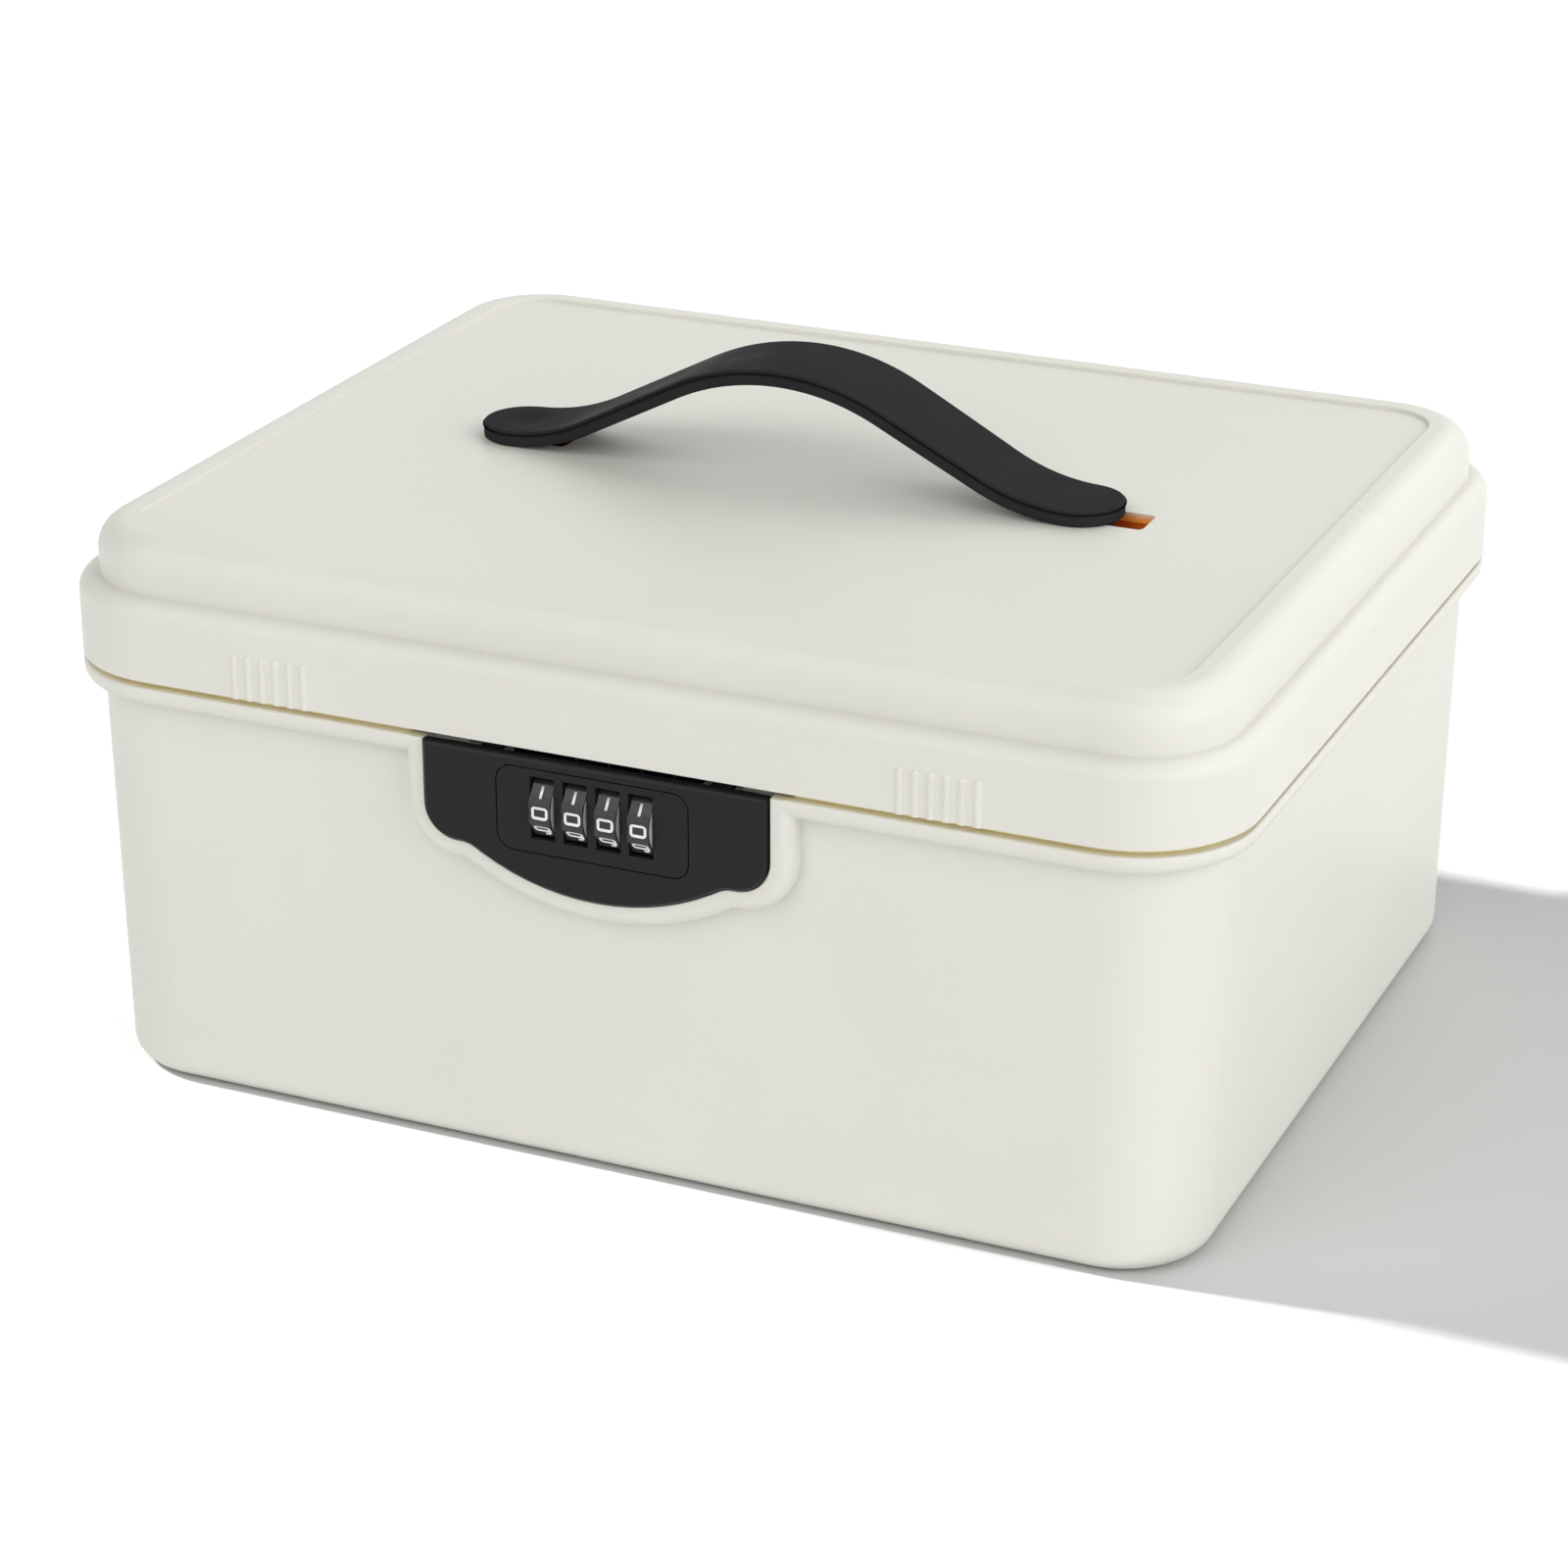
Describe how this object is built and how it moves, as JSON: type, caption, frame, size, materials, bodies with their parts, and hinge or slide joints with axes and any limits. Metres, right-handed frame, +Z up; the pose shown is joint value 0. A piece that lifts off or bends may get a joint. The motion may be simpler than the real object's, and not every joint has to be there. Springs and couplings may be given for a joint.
{
  "type": "lockable medicine case",
  "caption": "Moulded medicine case with a hinged lid, a strap handle on top and a pull latch with number dials.",
  "frame": {"origin": "centre of the closed case's bounding box, on the plane it stands on", "axes": "+Z up, +X right along the front, +Y from the front with the lock towards the hinges at the back"},
  "size_m": [0.3, 0.2548, 0.1724],
  "materials": {
    "case_plastic": "satin",
    "strap_plastic": "satin",
    "lock_plastic": "matt",
    "dial_plastic": "satin",
    "sleeve_plastic": "satin",
    "steel": "zinc plated"
  },
  "bodies": {
    "base": {"base_shell": "case_plastic", "hinge_pins": "steel", "latch_pins": "steel", "dial_bezel": "lock_plastic", "bezel_screws": "steel", "dial_spindle": "steel", "spindle_clips": "steel", "detent_spring": "steel", "lock_cover": "lock_plastic", "cover_screws": "steel"},
    "lid": {"lid_shell": "case_plastic", "lid_strike": "lock_plastic", "strike_screws": "steel"},
    "handle": {"handle_strap": "strap_plastic"},
    "latch": {"latch_plate": "lock_plastic", "latch_hooks": "steel", "hook_screws": "steel", "latch_springs": "steel", "locking_comb": "steel"},
    "first_dial": {"dial_1": "dial_plastic", "dial_sleeve_1": "sleeve_plastic"},
    "second_dial": {"dial_2": "dial_plastic", "dial_sleeve_2": "sleeve_plastic"},
    "third_dial": {"dial_3": "dial_plastic", "dial_sleeve_3": "sleeve_plastic"},
    "fourth_dial": {"dial_4": "dial_plastic", "dial_sleeve_4": "sleeve_plastic"},
    "reset": {"reset_slider": "lock_plastic"}
  },
  "joints": [
    {"name": "lid_hinge", "type": "hinge", "parent": "base", "child": "lid", "pos_m": [0, 0.12132, 0.1091], "axis": [-1, 0, 0], "range_deg": [0, 105]},
    {"name": "handle_play", "type": "slide", "parent": "lid", "child": "handle", "axis": [1, 0, 0], "range_m": [-0.0022, 0.0077]},
    {"name": "latch_pull", "type": "hinge", "parent": "base", "child": "latch", "pos_m": [0, -0.12118, 0.1048], "axis": [1, 0, 0], "range_deg": [-18, 0], "stiffness_Nm_per_rad": 0.06, "springref_deg": 22.92},
    {"name": "first_dial_turn", "type": "hinge", "parent": "base", "child": "first_dial", "pos_m": [-0.0126, -0.11918, 0.0957], "axis": [1, 0, 0], "continuous": true},
    {"name": "second_dial_turn", "type": "hinge", "parent": "base", "child": "second_dial", "pos_m": [-0.0042, -0.11918, 0.0957], "axis": [1, 0, 0], "continuous": true},
    {"name": "third_dial_turn", "type": "hinge", "parent": "base", "child": "third_dial", "pos_m": [0.0042, -0.11918, 0.0957], "axis": [1, 0, 0], "continuous": true},
    {"name": "fourth_dial_turn", "type": "hinge", "parent": "base", "child": "fourth_dial", "pos_m": [0.0126, -0.11918, 0.0957], "axis": [1, 0, 0], "continuous": true},
    {"name": "reset_slide", "type": "slide", "parent": "base", "child": "reset", "axis": [1, 0, 0], "range_m": [0, 0.0034]}
  ]
}
